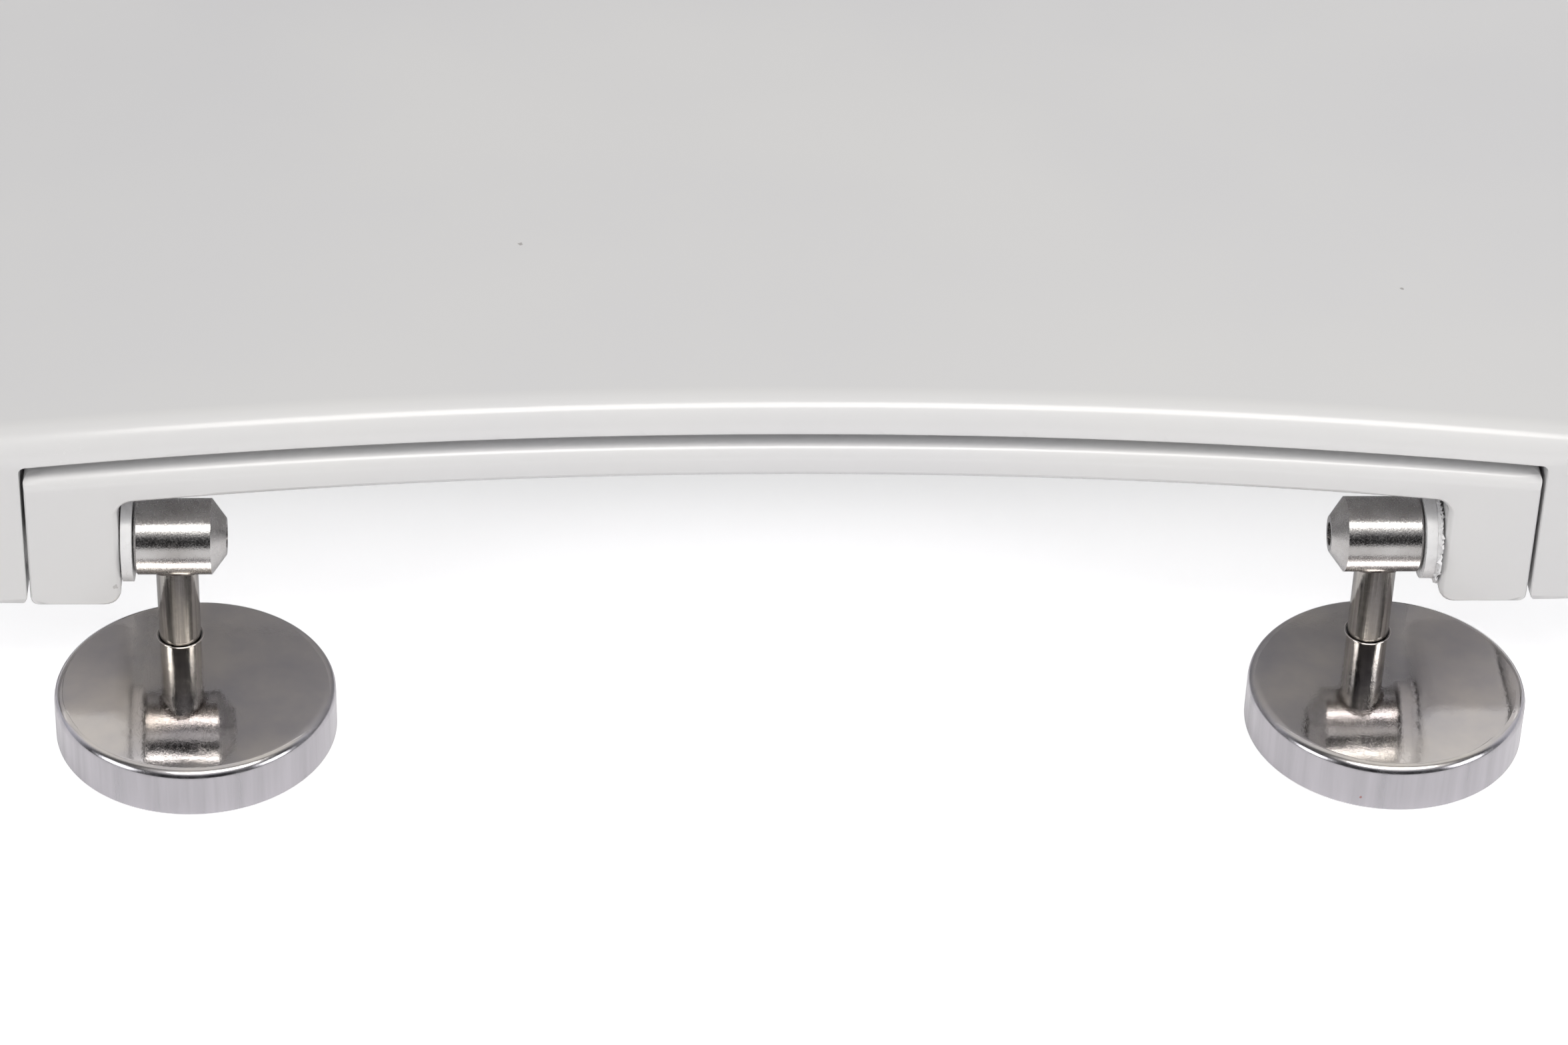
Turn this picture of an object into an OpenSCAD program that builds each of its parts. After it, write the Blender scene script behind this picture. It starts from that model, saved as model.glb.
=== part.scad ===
// Toilet seat with a wrap-over lid, a ring and two eccentric hinges.
// Lengths are millimetres. +Z is up from the pan, -Y is the open front and
// +Y is the hinge end. Left is the -X side and right is the +X side.
// The origin is the middle of the closed seat's outer box, on the pan.

/* [Lid] */
// Length of the lid from its rear face to its front edge
lid_l = 440; // [400:1:480]
// Width of the lid at its widest station
lid_w = 370; // [345:1:400]
// Distance from the rear face to the widest station
widest_at = 200; // [180:1:220]
// Thickness of the lid's top plate
lid_t = 6.7; // [5:0.1:8]
// Thickness of the lid's skirt
skirt_t = 5; // [4:0.1:6.5]
// Height of the lid's top at the middle of the rear edge
lid_top = 65.4; // [62:0.1:68]
// Drop of the lid's top from the rear edge to the front edge
lid_fall = 12; // [6:0.5:16]
// Height of the lower edge of the skirt above the pan
skirt_z = 21.5; // [20:0.1:25]
// Radius of the lid's rounded top edge
lid_edge_r = 6; // [3:0.1:8]
// Radius of the rounded lower edge of the skirt
skirt_edge_r = 1.5; // [0.5:0.1:2.4]
// Radius of the fillet between the lid's plate and its skirt
skirt_fillet_r = 3; // [1:0.1:4]
// Radius of the crown across the lid and the ring
crown_r = 1240; // [900:10:2000]

/* [Ring] */
// Gap between the lid's skirt and the ring
skirt_gap = 2.5; // [1.5:0.1:4]
// Gap between the lid's plate and the ring at the rear edge
plate_gap = 2.3; // [1.2:0.1:3]
// Drop of the ring's top from the rear edge to the front edge
ring_fall = 20; // [14:0.5:22]
// Height of the ring's underside above the pan
ring_z = 12; // [10:0.5:15]
// Thickness of the rear bar over the hinge bay
bar_t = 6.4; // [5:0.1:7.5]
// Radius of the crown along the underside of the rear bar
bar_crown_r = 1150; // [900:10:1240]
// Depth of the hinge bay from the rear face
bay_l = 56; // [50:1:64]
// Thickness of the ring's side walls
ring_wall = 7; // [5:0.1:8]
// Thickness of the ring's seating plate
ring_plate = 7; // [5:0.1:9]
// Radius of the ring's outer top edge
ring_edge_r = 3; // [1.5:0.1:4]
// Bevel along the ring's lower edges
ring_bevel = 2; // [1:0.1:3]
// Radius of the ring's edge into the bowl opening
bowl_edge_r = 9; // [5:0.5:12]
// Width of the bowl opening
bowl_w = 234; // [215:1:240]
// Distance from the rear face to the bowl opening
bowl_from = 98; // [92:1:108]
// Distance from the rear face to the front of the bowl opening
bowl_to = 374; // [350:1:380]

/* [Hinge ears] */
// Distance from the middle to the inner face of a ring ear
ear_in = 117.7; // [116:0.1:119]
// Width of a ring ear
ear_w = 16.1; // [13:0.1:18]
// Width of a lid ear
lid_ear_w = 16; // [13:0.1:20]
// Height of a lid ear's underside over the lower edge of the skirt
lid_ear_rise = 0.5; // [0.3:0.1:2]
// Gap between a ring ear and the lid beside it
ear_gap = 0.5; // [0.3:0.05:0.8]
// Depth of the lid ears and of the lid's notch from the rear face
ear_l = 17; // [16:0.1:18]
// Depth of the ring ears from the rear face
ring_ear_l = 26; // [25:0.5:30]
// Rise of the lid's notch into the underside of the lid's plate
notch_lift = 0.2; // [0.1:0.05:0.5]
// Radius of the inner lower corner of a ring ear and of the corner above it
ear_corner_r = 3; // [1.4:0.1:4]
// Radius of the two outer corners of a ring ear
ear_side_r = 1.5; // [1.3:0.1:3]
// Radius of the rounded rear edges of the bar and the ring ears
rear_edge_r = 1.2; // [0.5:0.1:1.2]
// Radius of the upper corners of the lid's notch
notch_corner_r = 1.3; // [0.5:0.1:2]
// Radius of the lower corners beside the lid's notch
notch_foot_r = 2; // [1:0.1:4]
// Radius of the rounded rear edge round the lid's notch
notch_edge_r = 0.6; // [0.3:0.1:0.9]
// Step between the ears and the hinge bay in front of them
bay_step = 0.2; // [0.1:0.05:0.5]

/* [Hinges] */
// Height of the hinge axis above the pan
axis_z = 31.4; // [30:0.1:34]
// Distance from the rear face to the hinge axis
axis_in = 7.7; // [7:0.1:9]
// Distance between the two hinge posts
post_spacing = 215.4; // [212:0.1:216]
// Side shift of the hinges against the middle of the seat
hinge_shift = 0.5; // [0:0.1:0.6]
// Radius of a hinge post
post_r = 3.75; // [3:0.05:4.5]
// Radius of a hinge barrel
barrel_r = 6.8; // [5.8:0.05:7.5]
// Length of the barrel outwards from the post axis
barrel_out = 7; // [6:0.1:7.1]
// Length of the barrel inwards from the post axis
barrel_in = 6.5; // [5:0.1:8]
// Length of the cone at the barrel's inner end
cone_l = 2.6; // [2:0.1:4]
// Radius of the small end of the cone
cone_r = 3.3; // [3:0.1:4.5]
// Radius of the steel hinge pins
pin_r = 2.5; // [2:0.05:3]
// Depth of the post's seat in the barrel
post_seat = 2.6; // [1.5:0.1:3]
// Radius of the weld bead round a post under its barrel
weld_r = 0.7; // [0.4:0.1:1]
// Bevel at the outer end of a barrel
barrel_bevel = 0.4; // [0.2:0.1:1]
// Length of a hinge pin inwards from the post axis
pin_back = 2; // [1:0.1:2.5]
// Length of a hinge pin in its damper
pin_in_damper = 10; // [7:0.1:12]
// Radius of the set screw in a barrel
screw_r = 2.1; // [1.8:0.05:2.4]
// Length of the set screw
screw_l = 4.2; // [3:0.1:4.4]
// Depth of the set screw under the small end of the cone
screw_sink = 1.4; // [1:0.1:2]
// Radius over the corners of the set screw's hexagon socket
socket_r = 1.25; // [0.8:0.05:1.4]
// Depth of the set screw's hexagon socket
socket_l = 1.8; // [1:0.1:2]

/* [Dampers] */
// Radius of a damper's flange
flange_r = 8; // [7:0.1:9]
// Thickness of a damper's flange
flange_t = 1.9; // [1.5:0.1:2]
// Gap between a barrel and the flange beside it
flange_gap = 0.3; // [0.1:0.05:0.4]
// Radius of a damper's housing
damper_r = 5.4; // [4.8:0.1:5.8]
// Depth of the lid damper in the lid ear
damper_in_lid = 11; // [8:0.5:13]
// Wall of the ring bush and the lid bush
bush_t = 1.2; // [0.8:0.1:1.5]
// Length of the lid bush
lid_bush_l = 12; // [8:0.5:14]
// Depth of the lid pin in the ring damper
lid_pin_in = 6; // [4:0.1:8]

/* [Rosettes] */
// Radius of a rosette cap
cap_r = 25; // [23:0.5:27]
// Height of a rosette cap above the pan
cap_h = 9.4; // [9:0.1:12]
// Radius of the rounded rim of a cap
cap_rim_r = 1.8; // [1.2:0.1:3.5]
// Sheet thickness of a cap
cap_t = 0.8; // [0.5:0.05:1.2]
// Clearance of a cap's lower edge above the pan
cap_lift = 0.3; // [0.1:0.05:0.6]
// Clearance round a post in its cap
cap_hole_gap = 0.2; // [0.1:0.05:0.5]
// Distance from the post to the middle of the rosette
rosette_offset = 15; // [13.5:0.1:15.5]
// Turn of the right rosette about its post
right_turn = 12.9; // [0:0.1:20]
// Turn of the left rosette about its post
left_turn = 5.9; // [0:0.1:20]
// Thickness of a base plate
base_t = 4; // [3:0.1:5]
// Thickness of a gasket
gasket_t = 1; // [0.6:0.1:1.5]
// Radius of the threaded fixing hole in a base plate
fixing_r = 3.4; // [2.5:0.05:4]
// Radius of the boss round the fixing hole
fixing_boss_r = 7.5; // [6:0.1:8]
// Radius of the boss round a post
post_boss_r = 6; // [5.4:0.1:6.2]
// Material of a base plate under its post
post_floor_t = 1; // [0.8:0.1:2]
// Clearance of the gasket round the fixing hole
gasket_hole_gap = 1.5; // [0.5:0.1:3]

/* [Buffers] */
// Radius of a ring buffer at its foot
ring_buffer_r = 8.5; // [7:0.1:10]
// Radius of a lid buffer
lid_buffer_r = 7; // [5:0.1:9]
// Radius of the stem of every buffer
stem_r = 2.2; // [1.5:0.1:2.5]
// Length of the stem of every buffer
stem_l = 4; // [3:0.1:4.5]
// Radius of the bosses that hold the ring buffers
buffer_boss_r = 9; // [8:0.5:11]
// Radius of the rounded edge of a ring buffer
ring_buffer_edge_r = 1.5; // [0.5:0.1:2.5]
// Distance of the rear ring buffers from the rear face
buffer_rear_at = 130; // [120:1:150]
// Distance of the front ring buffers from the rear face
buffer_front_at = 330; // [320:1:340]
// Distance of the rear lid buffers from the rear face
lid_buffer_rear_at = 108; // [106:1:140]
// Distance of the front lid buffers from the rear face
lid_buffer_front_at = 345; // [320:1:350]

/* [Fits] */
// Radial running clearance of every pin in its bore
run_gap = 0.05; // [0.02:0.01:0.1]
// Radial clearance of pieces that are fixed in one another
seat_gap = 0.02; // [0.01:0.01:0.05]
// Gap between a buffer and the surface that it comes down on
rest_gap = 0.3; // [0.2:0.05:0.5]

/* [Hidden] */

left = -1;
right = 1;
corner_steps = 20;
front_steps = 64;
around = 4 * corner_steps + front_steps;
smooth = 96;
reach = 600;
past = 5;
bar_steps = 16;
eps = 0.01;

// Reference lines across the seat
cap_back = rosette_offset * cos(min(left_turn, right_turn)) + cap_r;
axis_y = (lid_l - axis_in - cap_back) / 2;
rear_y = axis_y + axis_in;
mid_y = rear_y - widest_at;
ring_top = lid_top - lid_t - plate_gap;
ring_front = lid_l - skirt_t - skirt_gap;
ear_out = ear_in + ear_w;
notch_x = ear_out + ear_gap;
bore_r = damper_r + bush_t;
bush_bore_r = pin_r + run_gap;

// Plan forms, each an oval with its own power at the rear and at the front
rear_power = 16;
front_power = 2.25;
rear_taper = 0.04;
ring_draft = 1;
bowl_rear_power = 2.5;
bowl_front_power = 2.1;
channel_rear_power = 3.2;

// Directions of the plan points, closest together at the rear corners
corner_at = atan(2 * widest_at / lid_w);
quarter = [
    for (i = [0:corner_steps - 1]) corner_at * (1 - pow(1 - i / corner_steps, 2)),
    for (i = [0:corner_steps - 1]) corner_at + (90 - corner_at) * pow(i / corner_steps, 2)];
directions = concat(quarter, [90],
    [for (i = [2 * corner_steps - 1:-1:1]) 180 - quarter[i]],
    [for (i = [0:front_steps - 1]) 180 * (1 + i / front_steps)]);

function oval(half_w, rear_l, front_l, rear_n, front_n, taper = 0) = [
    for (a = directions)
        let (c = cos(a), s = sin(a))
        let (n = s > 0 ? rear_n : front_n, len = s > 0 ? rear_l : front_l)
        let (d = pow(pow(abs(c) / half_w, n) + pow(abs(s) / len, n), -1 / n))
        let (back = s > 0 ? d * s / len : 0)
        [d * c * (1 - taper * back * back), mid_y + d * s]];

lid_plan = oval(lid_w / 2, widest_at, lid_l - widest_at, rear_power, front_power, rear_taper);
ring_plan = oval(lid_w / 2 - skirt_t - skirt_gap, widest_at, ring_front - widest_at,
    rear_power, front_power, rear_taper);
bowl_plan = oval(bowl_w / 2, widest_at - bowl_from, bowl_to - widest_at,
    bowl_rear_power, bowl_front_power);
channel_plan = oval(lid_w / 2 - skirt_t - skirt_gap - ring_wall, widest_at - bay_l - ring_wall,
    ring_front - ring_wall - widest_at, channel_rear_power, front_power);

function unit(v) = v / norm(v);

// Moves each point of a closed outline inwards along the normal there
function inset(plan, d) = [
    for (i = [0:len(plan) - 1])
        let (before = unit(plan[i] - plan[(i + len(plan) - 1) % len(plan)]))
        let (after = unit(plan[(i + 1) % len(plan)] - plan[i]))
        let (t = unit(before + after))
        plan[i] - d * [t.y, -t.x]];

// Half width of an oval at a distance from the rear face
function half_width(half_w, len, n, at) =
    half_w * pow(1 - pow(abs(at - widest_at) / len, n), 1 / n);
function ring_half_at(at) = at < widest_at
    ? half_width(lid_w / 2 - skirt_t - skirt_gap, widest_at, rear_power, at)
    : half_width(lid_w / 2 - skirt_t - skirt_gap, ring_front - widest_at, front_power, at);
function bowl_half_at(at) = at < widest_at
    ? half_width(bowl_w / 2, widest_at - bowl_from, bowl_rear_power, at)
    : half_width(bowl_w / 2, bowl_to - widest_at, bowl_front_power, at);

// Spot in the middle of the ring's seating surface
function seat_spot(at, side) = [side * (ring_half_at(at) + bowl_half_at(at)) / 2, rear_y - at];

function shrink(plan, k) = [for (p = plan) [p.x * k, mid_y + (p.y - mid_y) * k]];
function between(a, b, k) = [for (i = [0:around - 1]) a[i] * (1 - k) + b[i] * k];

// Height of a crowned surface that also falls towards the front
function crowned(p, z, fall) =
    z - p.x * p.x / (2 * crown_r) - fall * pow((rear_y - p.y) / lid_l, 2);
function lid_z(p, down) = crowned(p, lid_top, lid_fall) - down;
function ring_top_z(p, down) = crowned(p, ring_top, ring_fall) - down;

function flat_loop(plan, z) = [for (p = plan) [p.x, p.y, z]];
function lid_loop(plan, down) = [for (p = plan) [p.x, p.y, lid_z(p, down)]];
function ring_loop(plan, down) = [for (p = plan) [p.x, p.y, ring_top_z(p, down)]];

function tip(loop) = [0, mid_y, (loop[0].z + loop[2 * corner_steps].z) / 2];

// Skin over a list of loops; ends are closed to a point, or joined in a ring
module skin(loops, ring = false) {
    n = len(loops);
    links = ring ? n : n - 1;
    points = [for (l = loops) each l];
    tips = ring ? [] : [tip(loops[0]), tip(loops[n - 1])];
    walls = [
        for (k = [0:links - 1], i = [0:around - 1])
            let (a = k * around, b = ((k + 1) % n) * around, j = (i + 1) % around)
            each [[a + i, b + i, b + j], [a + i, b + j, a + j]]];
    caps = ring ? [] : [
        for (i = [0:around - 1])
            let (j = (i + 1) % around, last = (n - 1) * around)
            each [[n * around, i, j], [n * around + 1, last + j, last + i]]];
    polyhedron(concat(points, tips), concat(walls, caps), convexity = 6);
}

// Cylinder along X from x0 to x1 about the hinge axis
module axis_rod(r, x0, x1) {
    translate([min(x0, x1), axis_y, axis_z])
        rotate([0, 90, 0])
            cylinder(r = r, h = abs(x1 - x0), $fn = smooth);
}

// Cone about the hinge axis that narrows towards the middle for side 1
module axis_cone(x, side, r1, r2, h) {
    translate([x, axis_y, axis_z])
        rotate([0, -90 * side, 0])
            cylinder(r1 = r1, r2 = r2, h = h, $fn = smooth);
}

module box(x0, x1, y0, y1, z0, z1) {
    translate([x0, y0, z0]) cube([x1 - x0, y1 - y0, z1 - z0]);
}

// Upright outlines, as points [x, z]
function arc(x, z, r, a, b) = [for (i = [0:6]) let (t = a + (b - a) * i / 6)
    [x + r * cos(t), z + r * sin(t)]];
function crown_at(z, r, x) = z - r + sqrt(r * r - x * x);
function crown_line(z, r, x_end) = [for (i = [0:bar_steps - 1])
    let (x = x_end * i / bar_steps) [x, crown_at(z, r, x)]];
function backwards(line) = [for (i = [len(line) - 1:-1:0]) line[i]];

// Closed outline from its right half, which runs upwards from the middle line
function both_halves(half) = concat(
    [for (p = backwards(half)) if (p.x > 0) [-p.x, p.y]], half);

// Stations [y, inset] that run out to the rear over an edge of radius r
function to_rear(y0, r, way) = concat([[y0, 0]],
    [for (a = [0:28:84]) [rear_y - r * (1 - sin(a)), way * r * (1 - cos(a))]],
    [[rear_y + past, way * r * (1 - cos(84))]]);

// Block along Y with an upright outline that is inset by each station's amount
module upright_loft(outline, stations) {
    n = len(outline);
    last = (len(stations) - 1) * n;
    polyhedron(
        [for (s = stations, p = inset(outline, s[1])) [p.x, s[0], p.y]],
        concat([[for (i = [n - 1:-1:0]) i]], [[for (i = [0:n - 1]) last + i]], [
            for (k = [0:len(stations) - 2], i = [0:n - 1])
                let (a = k * n, b = (k + 1) * n, j = (i + 1) % n)
                each [[a + i, a + j, b + j], [a + i, b + j, b + i]]]),
        convexity = 6);
}

// Everything under a crowned surface whose middle is at height z
module under_crown(z, y0, y1) {
    translate([0, y0, z - crown_r])
        rotate([-90, 0, 0])
            cylinder(r = crown_r, h = y1 - y0, $fn = 720);
}

// Lid
crown_steps = [0.08, 0.25, 0.42, 0.57, 0.71, 0.84];

module lid_shell() {
    inner = inset(lid_plan, skirt_t);
    skin(concat(
        [for (k = crown_steps) lid_loop(shrink(lid_plan, k), lid_t)],
        [for (a = [0, 45, 90]) lid_loop(inset(inner, skirt_fillet_r * (1 - sin(a))),
            lid_t + skirt_fillet_r * (1 - cos(a)))],
        [flat_loop(inner, skirt_z)],
        [for (a = [0:45:90]) flat_loop(inset(lid_plan, skirt_edge_r * (1 - sin(a))),
            skirt_z + skirt_edge_r * (1 - cos(a)))],
        [for (a = [0:18:90]) lid_loop(inset(lid_plan, lid_edge_r * (1 - cos(a))),
            lid_edge_r * (1 - sin(a)))],
        [for (i = [len(crown_steps) - 1:-1:0]) lid_loop(shrink(lid_plan, crown_steps[i]), 0)]));
}

module lid_ear_block(side) {
    x0 = side > 0 ? notch_x - past : -notch_x - lid_ear_w;
    x1 = side > 0 ? notch_x + lid_ear_w : -notch_x + past;
    intersection() {
        box(x0, x1, rear_y - ear_l, rear_y, skirt_z + lid_ear_rise, lid_top);
        under_crown(lid_top - lid_t / 2, rear_y - ear_l - past, rear_y);
        linear_extrude(lid_top) polygon(inset(lid_plan, skirt_t / 2));
    }
}

// Notch through the rear skirt, wider at its foot and along its rear edge
module lid_notch() {
    roof = lid_top - lid_t + notch_lift;
    foot_x = notch_x + notch_foot_r;
    corner_x = notch_x - notch_corner_r;
    upright_loft(both_halves(concat(
        [[0, skirt_z - past], [foot_x, skirt_z - past]],
        arc(foot_x, skirt_z + notch_foot_r - 2 * eps, notch_foot_r, 270, 180),
        arc(corner_x, crown_at(roof, crown_r, corner_x) - notch_corner_r, notch_corner_r, 0, 90),
        backwards(crown_line(roof, crown_r, corner_x)))),
        concat([[rear_y - ear_l - 2 * notch_edge_r, notch_edge_r]],
            to_rear(rear_y - ear_l - notch_edge_r / 2, notch_edge_r, -1)));
}

module lid() color("white") difference() {
    union() {
        lid_shell();
        lid_ear_block(left);
        lid_ear_block(right);
    }
    lid_notch();
    axis_rod(damper_r + seat_gap, notch_x - 1, notch_x + damper_in_lid + rest_gap);
    axis_rod(bush_bore_r + bush_t + seat_gap, -notch_x + 1, -notch_x - lid_bush_l - rest_gap);
    for (b = lid_buffer_spots) lid_stem_hole(b);
}

// Lid buffers
lid_buffer_spots = [for (at = [lid_buffer_rear_at, lid_buffer_front_at], side = [left, right])
    seat_spot(at, side)];

// Places children square to the lid's underside at a spot
module at_underside(spot) {
    lean_x = atan(2 * lid_fall * (rear_y - spot.y) / (lid_l * lid_l));
    lean_y = asin(spot.x / crown_r);
    translate([spot.x, spot.y, lid_z(spot, lid_t)]) rotate([lean_x, lean_y, 0]) children();
}

module lid_stem_hole(spot) {
    at_underside(spot) translate([0, 0, -past])
        cylinder(r = stem_r + seat_gap, h = past + stem_l + rest_gap, $fn = smooth);
}

module lid_buffer(spot) color("gainsboro") {
    h = lid_z(spot, lid_t) - ring_top_z(spot, 0) - 2 * rest_gap;
    at_underside(spot) translate([0, 0, -h - rest_gap]) {
        rotate_extrude($fn = smooth) rounded_pad(lid_buffer_r, h, h / 3);
        translate([0, 0, h - eps]) cylinder(r = stem_r, h = stem_l + eps, $fn = smooth);
    }
}

// Half section of a round pad with a rounded lower edge
module rounded_pad(r, h, edge) {
    square([r - edge, h]);
    translate([0, edge]) square([r, h - edge]);
    translate([r - edge, edge]) circle(r = edge, $fn = smooth);
}

// Ring
module ring_shell() {
    seat_middle = 0.45;
    skin([
        flat_loop(inset(ring_plan, ring_bevel), ring_z),
        flat_loop(ring_plan, ring_z + ring_bevel),
        for (a = [0:30:90]) ring_loop(inset(ring_plan, ring_edge_r * (1 - cos(a))),
            ring_edge_r * (1 - sin(a))),
        ring_loop(between(ring_plan, bowl_plan, seat_middle), 0),
        for (a = [90:-22.5:0]) ring_loop(inset(bowl_plan, -bowl_edge_r * (1 - cos(a))),
            bowl_edge_r * (1 - sin(a))),
        flat_loop(bowl_plan, ring_z + ring_bevel),
        flat_loop(inset(bowl_plan, -ring_bevel), ring_z),
        flat_loop(inset(bowl_plan, -ring_wall), ring_z),
        ring_loop(inset(bowl_plan, -ring_wall - ring_draft), ring_plate),
        ring_loop(channel_plan, ring_plate),
        flat_loop(channel_plan, ring_z)], ring = true);
}

// Right half of the ring's rear end seen from the front: half the bar and one ear
bar_under = ring_top - bar_t;
bar_end_x = ear_in - ear_corner_r;
bar_end_z = crown_at(bar_under, bar_crown_r, bar_end_x);
ear_top_x = ear_out - ear_side_r;
ear_top_z = crown_at(ring_top, crown_r, ear_top_x);
rear_half = concat(
    crown_line(bar_under, bar_crown_r, bar_end_x),
    arc(bar_end_x, bar_end_z - ear_corner_r, ear_corner_r, 90, 0),
    arc(ear_in + ear_corner_r, skirt_z + ear_corner_r, ear_corner_r, 180, 270),
    arc(ear_top_x, skirt_z + ear_side_r, ear_side_r, 270, 360),
    arc(ear_top_x, ear_top_z - ear_side_r, ear_side_r, 0, 90),
    [[ear_top_x - 1, ear_top_z + 0.6], [ear_in - past, ring_top + past], [0, ring_top + past]]);

// Right half of the bay over the hinges
bay_half = concat(
    [[0, ring_z - past], [ear_in + bay_step, ring_z - past]],
    arc(bar_end_x + bay_step, bar_end_z + bay_step - ear_corner_r, ear_corner_r, 0, 90),
    backwards(crown_line(bar_under + bay_step, bar_crown_r, bar_end_x + bay_step)));

module rear_cutter() {
    ears_from = rear_y - ring_ear_l;
    difference() {
        box(-reach / 2, reach / 2, ears_from, rear_y + past - 1, ring_z - past, ring_top + past - 1);
        upright_loft(both_halves(rear_half), to_rear(ears_from - 1, rear_edge_r, 1));
    }
    upright_loft(both_halves(bay_half), [[rear_y - bay_l, 0], [ears_from + bay_step, 0]]);
}

module seat_ring() color("white") difference() {
    union() {
        ring_shell();
        for (b = ring_buffer_spots) buffer_boss(b);
    }
    rear_cutter();
    axis_rod(bore_r + seat_gap, ear_in - past, ear_out + past);
    axis_rod(damper_r + seat_gap, -ear_in + past, -ear_out - past);
    for (b = ring_buffer_spots) ring_stem_hole(b);
}

// Ring buffers
ring_buffer_spots = [for (at = [buffer_rear_at, buffer_front_at], side = [left, right])
    seat_spot(at, side)];

module buffer_boss(spot) {
    translate([spot.x, spot.y, ring_z])
        cylinder(r = buffer_boss_r, h = ring_top_z(spot, ring_plate / 2) - ring_z, $fn = smooth);
}

module ring_stem_hole(spot) {
    translate([spot.x, spot.y, ring_z - 1])
        cylinder(r = stem_r + seat_gap, h = 1 + stem_l + rest_gap, $fn = smooth);
}

module ring_buffer(spot) color("gainsboro") translate([spot.x, spot.y, 0]) {
    rotate_extrude($fn = smooth) rounded_pad(ring_buffer_r, ring_z, ring_buffer_edge_r);
    translate([0, 0, ring_z - eps]) cylinder(r = stem_r, h = stem_l, $fn = smooth);
}

// Dampers, bushes and the lid's pin
function post_x(side) = side * post_spacing / 2 + hinge_shift;
function barrel_end(side) = post_x(side) + side * barrel_out;
function flange_x(side) = barrel_end(side) + side * flange_gap;

module pin_socket(side) {
    axis_rod(pin_r + run_gap, flange_x(side) - side, flange_x(side) + side * pin_in_damper);
}

module lid_damper() color("whitesmoke") difference() {
    union() {
        axis_rod(flange_r, flange_x(right), flange_x(right) + flange_t);
        axis_rod(damper_r, flange_x(right), notch_x + damper_in_lid);
    }
    pin_socket(right);
}

module ring_bush() color("gainsboro") difference() {
    axis_rod(bore_r, ear_in + rest_gap, ear_out - rest_gap);
    axis_rod(damper_r + run_gap, ear_in - 1, ear_out + 1);
}

module ring_damper() color("whitesmoke") difference() {
    union() {
        axis_rod(flange_r, flange_x(left), flange_x(left) - flange_t);
        axis_rod(damper_r, flange_x(left), -ear_out);
    }
    pin_socket(left);
    axis_rod(pin_r + seat_gap, -ear_out - 1, -ear_out + lid_pin_in - eps);
}

module lid_pin() color("silver") {
    axis_rod(pin_r, -ear_out + lid_pin_in - rest_gap, -notch_x - lid_bush_l + rest_gap);
}

module lid_bush() color("gainsboro") difference() {
    axis_rod(bush_bore_r + bush_t, -notch_x - rest_gap, -notch_x - lid_bush_l);
    axis_rod(bush_bore_r, -notch_x + 1, -notch_x - lid_bush_l - 1);
}

// Hinges
module hinge_pin(side) color("silver") {
    axis_rod(pin_r, post_x(side) - side * pin_back,
        flange_x(side) + side * (pin_in_damper - rest_gap));
}

module hinge_barrel(side) color("silver") difference() {
    x = post_x(side);
    union() {
        axis_rod(barrel_r, x - side * barrel_in, x + side * (barrel_out - barrel_bevel));
        axis_cone(x - side * barrel_in, side, barrel_r, cone_r, cone_l);
        axis_cone(x + side * (barrel_out - barrel_bevel), -side, barrel_r,
            barrel_r - barrel_bevel, barrel_bevel);
    }
    axis_rod(pin_r + seat_gap, x - side * (pin_back + rest_gap), x + side * (barrel_out + 1));
    axis_rod(screw_r + seat_gap, x - side * (pin_back + rest_gap + eps),
        x - side * (barrel_in + cone_l + 1));
    translate([x, axis_y, axis_z - barrel_r - 1])
        cylinder(r = post_r + seat_gap, h = 1 + post_seat + rest_gap, $fn = smooth);
}

module pin_screw(side) color("dimgray") difference() {
    end = post_x(side) - side * (barrel_in + cone_l - screw_sink);
    axis_rod(screw_r, end + side * screw_l, end);
    translate([end + side * socket_l, axis_y, axis_z]) rotate([0, -90 * side, 0])
        cylinder(r = socket_r, h = socket_l + 1, $fn = 6);
}

module hinge_post(side) color("silver") {
    foot = gasket_t + post_floor_t;
    translate([post_x(side), axis_y, foot])
        cylinder(r = post_r, h = axis_z - barrel_r + post_seat - foot, $fn = smooth);
    // Weld bead that closes the joint under the barrel
    difference() {
        translate([post_x(side), axis_y, axis_z - barrel_r])
            rotate_extrude($fn = smooth) translate([post_r, 0]) weld_section();
        axis_rod(barrel_r + seat_gap, post_x(side) - past, post_x(side) + past);
    }
}

// Half section of a weld bead, rounded below and running up between post and barrel
module weld_section() {
    circle(r = weld_r, $fn = 24);
    translate([-weld_r, 0]) square([2 * weld_r, barrel_r / 3]);
}

// Rosettes
module at_rosette(side) {
    translate([post_x(side), axis_y, 0]) rotate([0, 0, side > 0 ? right_turn : left_turn])
        translate([0, rosette_offset, 0]) children();
}

module hinge_cap(side) color("lightgray") difference() {
    at_rosette(side) rotate_extrude($fn = 180) difference() {
        rounded_lid_section(cap_r, cap_h, cap_rim_r);
        rounded_lid_section(cap_r - cap_t, cap_h - cap_t, max(cap_rim_r - cap_t, 0.3));
        translate([0, -1]) square([cap_r + 1, 1 + cap_lift]);
    }
    translate([post_x(side), axis_y, cap_h / 2])
        cylinder(r = post_r + cap_hole_gap, h = cap_h, $fn = smooth);
}

// Half section of a round block with a rounded upper edge
module rounded_lid_section(r, h, edge) {
    square([r, h - edge]);
    square([r - edge, h]);
    translate([r - edge, h - edge]) circle(r = edge, $fn = smooth);
}

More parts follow.
